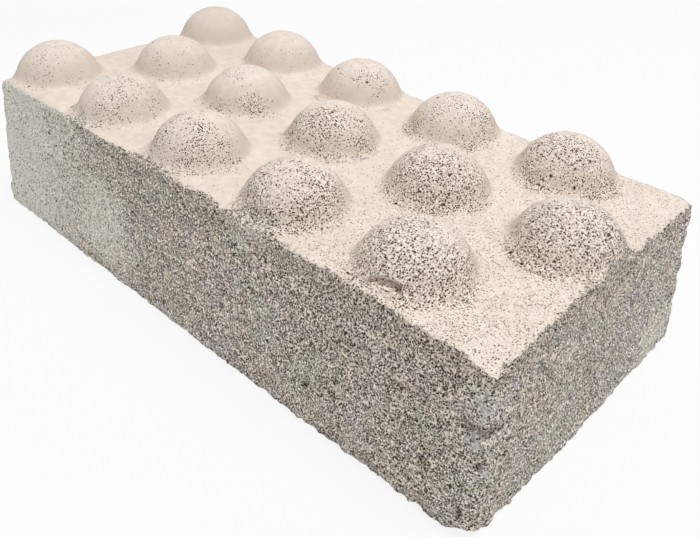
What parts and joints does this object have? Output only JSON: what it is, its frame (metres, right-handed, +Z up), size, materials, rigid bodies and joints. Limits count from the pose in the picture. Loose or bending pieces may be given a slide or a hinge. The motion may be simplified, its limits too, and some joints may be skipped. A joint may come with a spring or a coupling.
{
  "type": "brick",
  "caption": "Porous ceramic brick with a flat bed and a relief of round domes, in staggered rows, over its top face.",
  "frame": {"origin": "middle of the flat bed face, on the floor that the brick lies on", "axes": "+X along the length towards the end with the wide plain margin, +Z up to the domes"},
  "size_m": [0.2318, 0.1158, 0.065],
  "materials": {
    "porous_ceramic": "matte"
  },
  "bodies": {
    "root": {"brick": "porous_ceramic"}
  },
  "joints": []
}
